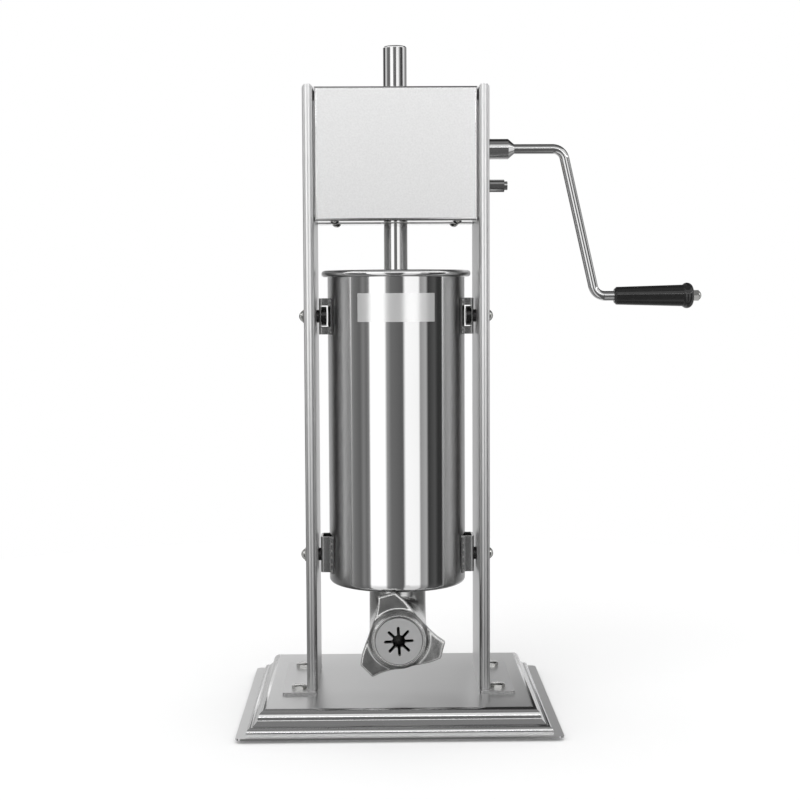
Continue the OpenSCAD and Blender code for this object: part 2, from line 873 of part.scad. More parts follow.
// Filled side view of a cover, in Y and Z: the front face at -cover_y and the two laps behind it
module cover_side(inset) {
    r = cover_bend_r - inset;
    y0 = -cover_y + inset;
    z0 = gearbox_z + inset;
    z1 = gearbox_top - inset;
    translate([y0 + r, z0]) square([cover_y, z1 - z0]);
    translate([y0, z0 + r]) square([cover_y, z1 - z0 - 2 * r]);
    for (z = [z0 + r, z1 - r]) translate([y0 + r, z]) circle(r);
}

// Filled plan of a cover, in X and Y, with rounded front corners
module cover_plan(inset) {
    r = cover_bend_r - inset;
    w = cover_half - inset;
    y0 = -cover_y + inset;
    translate([-w + r, y0]) square([2 * (w - r), cover_y]);
    translate([-w, y0 + r]) square([2 * w, cover_y]);
    for (x = [-1, 1]) translate([x * (w - r), y0 + r]) circle(r);
}

module cover_block(inset) {
    intersection() {
        along_x(-cover_half, cover_half) cover_side(inset);
        along_z(gearbox_z - over, gearbox_top + over) cover_plan(inset);
    }
}

module cover_pan() {
    difference() {
        cover_block(0);
        cover_block(cover_t);
        box([-upright_in, upright_in], [-cover_seam, upright_d], [gearbox_z, gearbox_top + over]);
        box([-upright_in, upright_in], [-cover_lap_y, upright_d],
            [gearbox_z - over, gearbox_top - cover_bend_r]);
        both_sides() box([cover_half - cover_t - over, upright_in], [-cover_y + cover_side_w, upright_d],
            [chassis_z, gearbox_top - cover_t]);
        rod_z(upper_bush_r + hole_gap, gearbox_top - cover_bend_r, gearbox_top + over);
        at_cover_screws() rod_z(cover_screw_r + hole_gap, gearbox_z - over, chassis_z + over);
    }
}

module front_cover() {
    color("gainsboro") cover_pan();
}

module rear_cover() {
    color("gainsboro") mirror([0, 1, 0]) cover_pan();
}

module cover_screws() {
    color("silver") at_cover_screws() {
        translate([0, 0, gearbox_z]) mirror([0, 0, 1]) dome(cover_screw_head_r, cover_screw_head_h);
        rod_z(cover_screw_r, gearbox_z, floor_top + cover_nut_h + cover_t);
    }
}

module cover_nuts() {
    color("silver") at_cover_screws() along_z(floor_top, floor_top + cover_nut_h) difference() {
        hexagon(cover_nut_af);
        circle(cover_screw_r + run_gap);
    }
}

module chassis_bolts() {
    x0 = upright_in - chassis_t;
    color("silver") both_sides() at_chassis_bolts() {
        along_x(x0 - chassis_bolt_head_h, x0) hexagon(chassis_bolt_af);
        rod_x(chassis_bolt_r, x0, upright_in + chassis_nut_len + chassis_bolt_tip);
    }
}

// Blind nuts set in the inner walls of the uprights: the bulge behind the wall holds them
module chassis_nuts() {
    x1 = upright_in + upright_wall;
    color("silver") both_sides() at_chassis_bolts() difference() {
        union() {
            rod_x(chassis_nut_r, upright_in, upright_in + chassis_nut_len);
            rod_x(chassis_nut_bulge_r, x1, x1 + upright_wall);
        }
        rod_x(chassis_bolt_r + run_gap, upright_in - over, upright_in + chassis_nut_len + over);
    }
}

module rod_bush_lower() {
    r = rod_r + bush_wall;
    color("white") difference() {
        union() {
            rod_z(r, gearbox_z, floor_top + lower_bush_len);
            rod_z(r + bush_flange_w, floor_top, floor_top + bush_flange_t);
        }
        rod_z(rod_r + run_gap, gearbox_z - over, floor_top + lower_bush_len + over);
    }
}

module rod_bush_upper() {
    color("white") difference() {
        union() {
            rod_z(upper_bush_r, guide_z - bush_flange_t, gearbox_top);
            rod_z(upper_bush_r + bush_flange_w, guide_z - bush_flange_t, guide_z);
        }
        rod_z(rod_r + run_gap, guide_z - bush_flange_t - over, gearbox_top + over);
    }
}

module shaft_bushes_left() {
    x0 = bearing_x - bearing_plate_t;
    color("peru") at_shafts() difference() {
        union() {
            rod_x(shaft_bush_r, x0, bearing_x);
            rod_x(shaft_bush_flange_r, bearing_x, bearing_x + shaft_bush_flange_t);
        }
        rod_x(shaft_r + run_gap, x0 - over, bearing_x + shaft_bush_flange_t + over);
    }
}

module shaft_bushes_right() {
    x0 = upright_in - chassis_t;
    color("peru") at_shafts() difference() {
        union() {
            rod_x(shaft_bush_r, x0, upright_out);
            rod_x(shaft_bush_flange_r, x0 - shaft_bush_flange_t, x0);
        }
        rod_x(shaft_r + run_gap, x0 - shaft_bush_flange_t - over, upright_out + over);
    }
}

// Hooks: a spool bolted inside each upright, which the cylinder's brackets hang on

module hook_spools() {
    color("#202020") both_sides() at_hooks() difference() {
        union() {
            rod_x(spool_head_r, spool_head_x0, spool_head_x1);
            rod_x(spool_neck_r, spool_head_x1, upright_in);
        }
        rod_x(hook_bolt_r + run_gap, spool_head_x0 - over, upright_in + over);
        rod_x(hook_recess_r, spool_head_x0 - over, spool_head_x0 + hook_head_h);
    }
}

module hook_bolts() {
    x0 = spool_head_x0 + seat_gap;
    color("silver") both_sides() at_hooks() {
        along_x(x0, spool_head_x0 + hook_head_h) hexagon(hook_head_af);
        rod_x(hook_bolt_r, x0, upright_out + hook_washer_t + hook_bolt_tip);
    }
}

module hook_washers() {
    color("silver") both_sides() at_hooks() along_x(upright_out, upright_out + hook_washer_t)
        ring_2d(hook_washer_r, hook_bolt_r + hole_gap);
}

module acorn_nuts() {
    x0 = upright_out + hook_washer_t;
    color("gainsboro") both_sides() at_hooks() difference() {
        union() {
            along_x(x0, x0 + acorn_hex_h) hexagon(hook_head_af);
            translate([x0 + acorn_hex_h, 0, 0]) rotate([0, 90, 0]) dome(acorn_dome_r, acorn_dome_h);
        }
        rod_x(hook_bolt_r + run_gap, x0 - over, x0 + hook_bolt_tip + seat_gap);
    }
}

// Cylinder

// Filled half outline of a pot: radius, height, corner radius
module pot_half(r, h, corner) {
    square([r - corner, h]);
    translate([0, corner]) square([r, h - corner]);
    translate([r - corner, corner]) circle(corner);
}

module batter_cylinder() {
    wall_z = cyl_corner_r + floor_skirt_h;
    wall_top = cyl_h - rim_r;
    color("silver") translate([0, 0, cyl_z]) rotate_extrude() difference() {
        union() {
            translate([0, wall_z]) square([cyl_r, wall_top - wall_z]);
            translate([cyl_in_r + rim_r + rim_inset, wall_top]) circle(rim_r);
        }
        square([cyl_in_r, cyl_h + over]);
    }
}

// The dished floor, welded to the wall, with the hole for the spout
module cylinder_floor() {
    color("silver") translate([0, 0, cyl_z]) rotate_extrude() difference() {
        pot_half(cyl_r, cyl_corner_r + floor_skirt_h, cyl_corner_r);
        translate([0, cyl_floor_t]) pot_half(cyl_in_r, cyl_h, cyl_corner_r - cyl_wall);
        translate([0, -over]) square([spout_bore_r, cyl_floor_t + 2 * over]);
    }
}

module bracket_plan() {
    depth = cyl_r - web_in + bracket_d;
    difference() {
        translate([web_out - depth / 2, 0]) rounded_rect(depth, bracket_d, bracket_bend_r);
        translate([web_in - depth / 2, 0])
            rounded_rect(depth, bracket_d - 2 * bracket_t, bracket_in_r);
        circle(cyl_r + skin_gap);
        translate([-cyl_r, -cyl_r]) square([1.5 * cyl_r, cyl_od]);
    }
    a0 = asin((bracket_d / 2 - bracket_t) / cyl_r);
    a1 = a0 + weld_tab_w / cyl_r * 180 / PI;
    far = 2 * cyl_r;
    for (s = [-1, 1]) intersection() {
        ring_2d(cyl_r + skin_gap + bracket_t / 2, cyl_r + skin_gap);
        polygon([[0, 0], far * [cos(a0), s * sin(a0)], far * [cos(a1), s * sin(a1)]]);
    }
}

module upper_brackets() {
    z0 = hook_upper_z - bracket_h / 2;
    color("silver") both_sides() difference() {
        along_z(z0, z0 + bracket_h) bracket_plan();
        box([cyl_r * cos(asin(bracket_d / cyl_od)), web_in], [-bracket_d, bracket_d],
            [hook_upper_z - window_h / 2, hook_upper_z + window_h / 2]);
        box([web_in - over, web_out + over], [0, bracket_d],
            [hook_upper_z - slot_half, hook_upper_z + slot_half]);
        translate([0, 0, hook_upper_z]) rod_x(slot_half, web_in - over, web_out + over);
    }
}

module lower_brackets() {
    z0 = hook_lower_z + lower_bracket_lift - bracket_h / 2;
    color("silver") both_sides() difference() {
        along_z(z0, z0 + bracket_h) bracket_plan();
        box([web_in - over, web_out + over], [-slot_half, slot_half], [z0 - over, hook_lower_z]);
        translate([0, 0, hook_lower_z]) rod_x(slot_half, web_in - over, web_out + over);
    }
}

// Spout and nozzle

// A quarter of a bend from straight down to straight ahead, for a round of radius r
module elbow(r) {
    translate([0, -elbow_r, nozzle_z + elbow_r]) rotate([90, 0, 90]) rotate([0, 0, -90])
        rotate_extrude(angle = 90) translate([elbow_r, 0]) circle(r);
}

module rod_front(r, y0, y1) {
    translate([0, y1, nozzle_z]) rotate([90, 0, 0]) cylinder(r = r, h = y1 - y0);
}

module outlet_spout() {
    shoulder_y = -spout_reach + thread_len;
    color("silver") difference() {
        union() {
            rod_z(spout_r, nozzle_z + elbow_r, cyl_z);
            elbow(spout_r);
            rod_front(spout_r, shoulder_y, -elbow_r);
            rod_front(thread_r, -spout_reach, shoulder_y);
        }
        rod_z(spout_bore_r, nozzle_z + elbow_r, cyl_z + over);
        elbow(spout_bore_r);
        rod_front(spout_bore_r, shoulder_y + over, -elbow_r);
        rod_front(thread_bore_r, -spout_reach - over, shoulder_y + over);
    }
}

module spout_gasket() {
    color("white") difference() {
        rod_front(thread_r - seat_gap, die_back_y, gasket_y);
        rod_front(thread_bore_r, die_back_y - over, gasket_y + over);
    }
}

module star() {
    circle(star_core_r);
    for (i = [0:star_rays - 1]) rotate(star_turn + 360 * i / star_rays) {
        translate([0, -star_ray_w / 2]) square([star_r - star_ray_w / 2, star_ray_w]);
        translate([star_r - star_ray_w / 2, 0]) circle(star_ray_w / 2);
    }
}

module star_die() {
    color("lightgray") difference() {
        union() {
            rod_front(thread_r - seat_gap, die_flange_y, die_back_y);
            rod_front(die_face_r, die_face_y, die_flange_y);
        }
        along_y(die_face_y - over, die_back_y + over) translate([0, nozzle_z]) star();
    }
}

function wing_points() =
    [for (w = [0:2], p = wing_outline_shares)
        let (r = nut_body_r + (wing_r - nut_body_r) * p[1], a = wing_turn + 120 * w + p[0])
        r * [cos(a), sin(a)]];

module wing_nut() {
    wing_y = nut_front_y + wing_set_back;
    color("silver") difference() {
        union() {
            rod_front(nut_body_r, nut_front_y + nut_nose_len, nut_back_y);
            translate([0, nut_front_y + nut_nose_len, nozzle_z]) rotate([90, 0, 0])
                cylinder(r1 = nut_body_r, r2 = nut_nose_r + nut_step_w, h = nut_nose_len - nut_step_len);
            rod_front(nut_nose_r, nut_front_y, nut_front_y + nut_nose_len);
            along_y(wing_y, wing_y + wing_t) translate([0, nozzle_z]) polygon(wing_points());
        }
        rod_front(nut_bore_r, die_flange_y, nut_back_y + over);
        rod_front(die_face_r + die_gap, nut_front_y - over, die_flange_y + over);
    }
}

// Piston rod and piston

module rack_rod() {
    color("gainsboro") difference() {
        union() {
            translate([0, 0, piston_top]) rotate_extrude() {
                square([rod_r - rod_edge_r, rod_top - piston_top]);
                square([rod_r, rod_top - piston_top - rod_edge_r]);
                translate([rod_r - rod_edge_r, rod_top - piston_top - rod_edge_r]) circle(rod_edge_r);
            }
            rod_z(rod_end_r, piston_z - piston_nut_h, piston_top);
        }
        along_x(-rod_r - over, rod_r + over) polygon(rack_cut_points());
    }
}

module piston_disc(z0) {
    translate([0, 0, z0]) rotate_extrude() {
        square([plate_r - plate_edge_r, plate_t]);
        translate([0, plate_edge_r]) square([plate_r, plate_t - 2 * plate_edge_r]);
        for (z = [plate_edge_r, plate_t - plate_edge_r])
            translate([plate_r - plate_edge_r, z]) circle(plate_edge_r);
    }
}

module valve_hole() {
    translate([0, -valve_reach, 0]) rod_z(valve_shank_r + run_gap, piston_z - over, piston_top + over);
}

module piston_top_plate() {
    color("gainsboro") difference() {
        piston_disc(top_plate_z);
        rod_z(rod_end_r + run_gap, top_plate_z - over, piston_top + over);
        valve_hole();
    }
}

module piston_seal() {
    color("white") translate([0, 0, seal_z]) rotate_extrude() difference() {
        translate([seal_in_r, 0]) square([seal_w, seal_t]);
        translate([seal_r, seal_t / 2]) circle(seal_groove_r);
    }
}

module piston_bottom_plate() {
    color("gainsboro") difference() {
        union() {
            piston_disc(piston_z);
            rod_z(seal_in_r - run_gap, seal_z, top_plate_z);
        }
        rod_z(rod_end_r + run_gap, piston_z - over, top_plate_z + over);
        valve_hole();
    }
}

module piston_nut() {
    color("silver") along_z(piston_z - piston_nut_h, piston_z) difference() {
        hexagon(piston_nut_af);
        circle(rod_end_r + run_gap);
    }
}

module air_valve_cage() {
    color("goldenrod") translate([0, -valve_reach, 0]) difference() {
        union() {
            rod_z(valve_shank_r, piston_z, piston_top);
            along_z(piston_top, piston_top + valve_hex_h) hexagon(valve_hex_af);
            rod_z(valve_neck_r, piston_top + valve_hex_h, valve_top);
        }
        rod_z(valve_stem_r + 2 * run_gap, piston_z - over, valve_top + over);
        rod_z(valve_seat_r + seat_gap, piston_z - over, piston_z + valve_seat_h);
    }
}

module air_valve_pin() {
    head_z = piston_z + valve_seat_h - seat_gap;
    color("silver") translate([0, -valve_reach, 0]) {
        rod_z(valve_stem_r, head_z - valve_head_t, valve_knob_z);
        rod_z(valve_seat_r, head_z - valve_head_t, head_z);
        rod_z(valve_knob_r, valve_knob_z, valve_knob_z + valve_knob_h);
    }
}

// Points of one ring of the spring's wire, at step k
function spring_ring(k) =
    let (
        rise = valve_spring_h - 2 * spring_wire_r - 2 * run_gap,
        a = 360 * k / spring_steps,
        z = valve_top + spring_wire_r + run_gap + rise * k / (spring_turns * spring_steps)
    )
    [for (s = [0:spring_sides - 1])
        let (b = 360 * s / spring_sides, r = spring_coil_r + spring_wire_r * cos(b))
        [r * cos(a), r * sin(a) - valve_reach, z + spring_wire_r * sin(b)]];

module air_valve_spring() {
    last = spring_turns * spring_steps;
    n = spring_sides;
    points = [for (k = [0:last]) each spring_ring(k)];
    sides = [for (k = [0:last - 1], s = [0:n - 1], half = [0, 1])
        let (a = k * n + s, b = k * n + (s + 1) % n)
        half == 0 ? [a, b, a + n] : [b, b + n, a + n]];
    start = [for (s = [1:n - 2]) [0, s + 1, s]];
    end = [for (s = [1:n - 2]) [last * n, last * n + s, last * n + s + 1]];
    color("silver") polyhedron(points, concat(sides, start, end));
}

// Gear train

module shaft(z) {
    color("darkgray") translate([0, shaft_y, z]) difference() {
        union() {
            rod_x(shaft_r, shaft_left_x, spline_x);
            along_x(spline_x, spline_x + spline_len) polygon(spline_points(0));
            rod_x(stub_tip_r, spline_x + spline_len, spline_x + spline_len + stub_tip_len);
        }
        for (x = [ring_left_x, ring_right_x]) along_x(x - run_gap, x + ring_t + run_gap)
            ring_2d(shaft_r + over, shaft_r - ring_depth - run_gap);
        children();
    }
}

// A key from x0 to x1 on top of a shaft, larger all round by the given gap
module key(x0, x1, gap) {
    box([x0 - gap, x1 + gap], [-key_w / 2 - gap, key_w / 2 + gap], [key_low_r - gap, key_high_r + gap]);
}

module rings(z) {
    color("dimgray") for (x = [ring_left_x, ring_right_x]) translate([0, shaft_y, z])
        along_x(x, x + ring_t) difference() {
            ring_2d(ring_r, shaft_r - ring_depth);
            translate([-ring_split_w / 2, -ring_r - over]) square([ring_split_w, ring_r]);
        }
}

module fast_shaft() {
    shaft(fast_z) {
        key(rack_key_x[0], rack_key_x[1], key_gap);
        key(gear_key_x[0], gear_key_x[1], key_gap);
    }
}

module slow_shaft() {
    shaft(slow_z) key(slow_key_x[0], slow_key_x[1], key_gap);
}

module gear_bore(x0, x1) {
    rod_x(shaft_r + run_gap, x0 - over, x1 + over);
    key(x0 - over, x1 + over, key_gap);
}

module rack_pinion() {
    half = rack_pinion_w / 2;
    collar_x = bearing_x + shaft_bush_flange_t + seat_gap;
    collar_out_r = rack_pinion_r - rack_dedendum - over;
    color("gray") translate([0, shaft_y, fast_z]) difference() {
        union() {
            along_x(-half, half) polygon(gear_points(rack_module, rack_teeth, 180));
            rod_x(collar_out_r, collar_x, -half);
        }
        gear_bore(-half, half);
        rod_x(shaft_r + run_gap, collar_x - over, -half);
    }
}

module fast_gear() {
    x1 = fast_gear_x + fast_gear_w;
    rim_in_r = fast_gear_tip_r - 4.2 * pair_module;
    color("gray") translate([0, shaft_y, fast_z]) difference() {
        along_x(fast_gear_x, x1) polygon(gear_points(pair_module, fast_teeth, 90 + 180 / fast_teeth));
        gear_bore(fast_gear_x, x1);
        along_x(fast_gear_x + fast_gear_web_w, x1 + over) ring_2d(rim_in_r, gear_hub_r);
    }
}

module slow_pinion() {
    x1 = slow_pinion_x + slow_pinion_w;
    color("gray") translate([0, shaft_y, slow_z]) difference() {
        along_x(slow_pinion_x, x1) polygon(gear_points(pair_module, slow_teeth, 270));
        gear_bore(slow_pinion_x, x1);
    }
}

module fast_keys() {
    color("dimgray") translate([0, shaft_y, fast_z]) {
        key(rack_key_x[0], rack_key_x[1], 0);
        key(gear_key_x[0], gear_key_x[1], 0);
    }
}

module slow_key() {
    color("dimgray") translate([0, shaft_y, slow_z]) key(slow_key_x[0], slow_key_x[1], 0);
}

module fast_rings() {
    rings(fast_z);
}

module slow_rings() {
    rings(slow_z);
}

// Crank and grip

// A bend of the crank's rod in the X and Z plane, about the origin, from angle a0 on
module crank_bend(a0) {
    rotate([90, 0, 0]) rotate([0, 0, a0]) rotate_extrude(angle = crank_turn)
        translate([crank_bend_r, 0]) circle(crank_r - bend_thinning);
}

module crank_arm() {
    shoulder = grip_x;
    spindle_end = grip_end + seat_gap + spindle_tip;
    color("silver") difference() {
        union() {
            translate([0, shaft_y, slow_z]) {
                rod_x(hub_r, crank_x, hub_end);
                translate([hub_end, 0, 0]) rotate([0, 90, 0])
                    cylinder(r1 = hub_r, r2 = crank_r, h = hub_cone_len);
                rod_x(crank_r, hub_end, upper_corner_x - bend_back + bend_lap);
                translate([upper_corner_x - bend_back, 0, -crank_bend_r]) crank_bend(90 - crank_turn);
                translate([upper_corner_x, 0, 0]) rotate([0, 90 + crank_turn, 0])
                    translate([0, 0, bend_back - bend_lap]) cylinder(r = crank_r, h = arm_len + 2 * bend_lap);
            }
            translate([0, shaft_y, handle_z]) {
                translate([lower_corner_x + bend_back, 0, crank_bend_r]) crank_bend(270 - crank_turn);
                rod_x(crank_r, lower_corner_x + bend_back - bend_lap, shoulder);
                rod_x(spindle_r, shoulder - crank_r, spindle_end);
            }
        }
        translate([0, shaft_y, slow_z]) {
            along_x(crank_x - over, spline_x + spline_len + seat_gap) polygon(spline_points(spline_gap));
            rod_x(stub_tip_r + spline_gap, crank_x, spline_x + spline_len + stub_tip_len + seat_gap);
        }
    }
}

module grip() {
    x0 = grip_x + seat_gap;
    collar_x = grip_end - collar_edge_r;
    collar_in_r = collar_r - collar_edge_r;
    color("#202020") translate([0, shaft_y, handle_z]) difference() {
        rotate([0, 90, 0]) rotate_extrude() {
            polygon([[0, x0], [grip_nose_r, x0], [grip_small_r, x0 + grip_nose_len], [grip_large_r, collar_x],
                [collar_in_r, collar_x], [collar_in_r, grip_end], [0, grip_end]]);
            translate([collar_in_r, collar_x]) circle(collar_edge_r);
        }
        rod_x(spindle_r + run_gap, x0 - over, grip_end + over);
    }
}

module grip_nut() {
    x0 = grip_end + seat_gap;
    color("silver") translate([0, shaft_y, handle_z]) difference() {
        union() {
            along_x(x0, x0 + grip_nut_h) hexagon(grip_nut_af);
            translate([x0 + grip_nut_h, 0, 0]) rotate([0, 90, 0]) dome(grip_nut_af * 0.47, grip_nut_dome_h);
        }
        rod_x(spindle_r + run_gap, x0 - over, x0 + spindle_tip + seat_gap);
    }
}

base_tray();
rubber_feet();
base_bolts();
base_washers();
base_nuts();
left_upright();
right_upright();
gearbox_chassis();
rod_guide_plate();
left_bearing_plate();
front_cover();
rear_cover();
cover_screws();
cover_nuts();
chassis_bolts();
chassis_nuts();
rod_bush_lower();
rod_bush_upper();
shaft_bushes_left();
shaft_bushes_right();
hook_spools();
hook_bolts();
hook_washers();
acorn_nuts();
batter_cylinder();
cylinder_floor();
upper_brackets();
lower_brackets();
outlet_spout();
spout_gasket();
rack_rod();
piston_top_plate();
piston_seal();
piston_bottom_plate();
piston_nut();
air_valve_cage();
air_valve_pin();
air_valve_spring();
fast_shaft();
rack_pinion();
fast_gear();
fast_keys();
fast_rings();
slow_shaft();
slow_pinion();
slow_key();
slow_rings();
crank_arm();
grip();
grip_nut();
star_die();
wing_nut();
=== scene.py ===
import json
import math

import bmesh
import bpy
from mathutils import Matrix, Vector


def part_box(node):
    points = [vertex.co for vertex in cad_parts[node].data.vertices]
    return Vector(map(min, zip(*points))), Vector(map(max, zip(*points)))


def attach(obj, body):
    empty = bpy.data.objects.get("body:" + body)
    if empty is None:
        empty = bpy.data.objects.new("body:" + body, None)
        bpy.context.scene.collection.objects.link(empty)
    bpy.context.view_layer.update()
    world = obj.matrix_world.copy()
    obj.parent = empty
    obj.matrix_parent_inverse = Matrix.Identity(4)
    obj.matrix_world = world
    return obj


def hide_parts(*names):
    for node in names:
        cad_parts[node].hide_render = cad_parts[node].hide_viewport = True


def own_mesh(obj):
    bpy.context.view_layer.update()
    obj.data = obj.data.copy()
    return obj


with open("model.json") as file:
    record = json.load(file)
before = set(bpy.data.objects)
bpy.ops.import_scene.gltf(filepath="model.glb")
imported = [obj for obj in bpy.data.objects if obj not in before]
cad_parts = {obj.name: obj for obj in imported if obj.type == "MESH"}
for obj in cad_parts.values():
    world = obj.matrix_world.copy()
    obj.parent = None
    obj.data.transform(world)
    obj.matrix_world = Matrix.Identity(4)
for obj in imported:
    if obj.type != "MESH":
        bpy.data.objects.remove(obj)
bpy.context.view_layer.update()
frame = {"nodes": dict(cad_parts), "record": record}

mm = 0.001
mergeDistance = 0.000002
print("frame loaded:", len(frame["nodes"]), "nodes")


class Wire:
    # one node socket, so that shader maths can be written as sums
    def __init__(self, tree, socket=None):
        self.tree = tree
        self.socket = socket

    def node(self, kind, settings, inputs, output=0):
        made = self.tree.nodes.new(kind)
        for name, value in settings.items():
            if name == "stops":
                fillRamp(made.color_ramp, value)
            else:
                setattr(made, name, value)
        for name, value in inputs.items():
            if isinstance(value, Wire):
                value.feed(made.inputs[name])
            else:
                made.inputs[name].default_value = value
        return Wire(self.tree, made.outputs[output])

    def feed(self, socket):
        self.tree.links.new(self.socket, socket)

    def maths(self, operation, a, b=0.0):
        return self.node("ShaderNodeMath", {"operation": operation}, {0: a, 1: b})

    def __add__(self, other):
        return self.maths("ADD", self, other)

    def __radd__(self, other):
        return self.maths("ADD", other, self)

    def __sub__(self, other):
        return self.maths("SUBTRACT", self, other)

    def __rsub__(self, other):
        return self.maths("SUBTRACT", other, self)

    def __mul__(self, other):
        return self.maths("MULTIPLY", self, other)

    def __rmul__(self, other):
        return self.maths("MULTIPLY", other, self)

    def __truediv__(self, other):
        return self.maths("DIVIDE", self, other)


def fillRamp(ramp, stops):
    while len(ramp.elements) < len(stops):
        ramp.elements.new(1.0)
    for element, (place, grey) in zip(ramp.elements, stops):
        element.position = place
        element.color = (grey, grey, grey, 1.0)


def grainMap(wire, stretch, scale, detail):
    # fine noise in the piece's own space, drawn out along the axes with a small stretch
    place = wire.node("ShaderNodeTexCoord", {}, {}, "Object")
    place = wire.node("ShaderNodeMapping", {}, {"Vector": place, "Scale": stretch})
    return wire.node("ShaderNodeTexNoise", {}, {"Vector": place, "Scale": scale, "Detail": detail})


def startFinish(name):
    finish = bpy.data.materials.new(name)
    finish.use_nodes = True
    return finish, finish.node_tree.nodes["Principled BSDF"].inputs, Wire(finish.node_tree)


def cloudTint(wire, cloud, s):
    # the colour drifts between two tones
    tones = {"Factor": cloud, "A": (*s["colour"], 1.0), "B": (*s["worn"], 1.0)}
    return wire.node("ShaderNodeMix", {"data_type": "RGBA"}, tones, "Result")


def shadeTowardsGround(wire, tint, low, high, least):
    # painted shade: the colour darkens towards the ground
    place = wire.node("ShaderNodeTexCoord", {}, {}, "Object")
    height = wire.node("ShaderNodeSeparateXYZ", {}, {"Vector": place}, "Z")
    share = wire.node("ShaderNodeMapRange", {},
                      {"Value": height, "From Min": low, "From Max": high, "To Min": least})
    return wire.node("ShaderNodeVectorMath", {"operation": "SCALE"},
                     {"Vector": tint, "Scale": share}, "Vector")


def addBump(wire, height, inputs, s):
    relief = {"Height": height, "Strength": s["bump"], "Distance": s["bumpDepth"]}
    wire.node("ShaderNodeBump", {}, relief).feed(inputs["Normal"])


def metalFinish(name, s):
    finish, inputs, wire = startFinish(name)
    inputs["Metallic"].default_value = s["metallic"]
    grain = grainMap(wire, s["stretch"], s["grainScale"], s["grainDetail"])
    cloud = grainMap(wire, (1.0, 1.0, 1.0), s["cloudScale"], s["cloudDetail"])
    roughness = s["roughness"] + (grain - 0.5) * s["grainDepth"] + (cloud - 0.5) * s["cloudDepth"]
    roughness.feed(inputs["Roughness"])
    tint = cloudTint(wire, cloud, s)
    # painted shade on the colour, darker towards the ground
    if "paintedShade" in s:
        tint = shadeTowardsGround(wire, tint, *s["paintedShade"])
    tint.feed(inputs["Base Color"])
    if s["bump"]:
        addBump(wire, grain, inputs, s)
    return finish


def plasticFinish(name, s):
    finish, inputs, wire = startFinish(name)
    cloud = grainMap(wire, (1.0, 1.0, 1.0), s["cloudScale"], s["cloudDetail"])
    roughness = s["roughness"] + (cloud - 0.5) * s["cloudDepth"]
    roughness.feed(inputs["Roughness"])
    cloudTint(wire, cloud, s).feed(inputs["Base Color"])
    addBump(wire, cloud, inputs, s)
    return finish


def greys(dull, worn):
    return {"colour": (dull, dull, dull), "worn": (worn, worn, worn)}


satinSheet = {
    **greys(0.66, 0.72), "metallic": 1.0, "roughness": 0.34, "stretch": (1.0, 1.0, 1.0),
    "grainScale": 900.0, "grainDetail": 3.0, "grainDepth": 0.06,
    "cloudScale": 9.0, "cloudDetail": 2.0, "cloudDepth": 0.05, "bump": 0.05, "bumpDepth": 0.0001,
}
uprightSheet = {
    **satinSheet, "stretch": (1.0, 1.0, 0.03), "grainDepth": 0.02, "cloudDepth": 0.02, "bump": 0.0,
}
brightBar = {
    **satinSheet, **greys(0.68, 0.72), "roughness": 0.07, "grainDepth": 0.04, "cloudDepth": 0.02,
    "bump": 0.015,
}
blackMoulding = {
    **greys(0.010, 0.018), "roughness": 0.2, "cloudScale": 220.0, "cloudDetail": 3.0,
    "cloudDepth": 0.06, "bump": 0.04, "bumpDepth": 0.0001,
}
paleMoulding = {
    **blackMoulding, "colour": (0.74, 0.73, 0.70), "worn": (0.80, 0.79, 0.77), "roughness": 0.45,
    "cloudScale": 90.0, "cloudDepth": 0.08, "bump": 0.05,
}
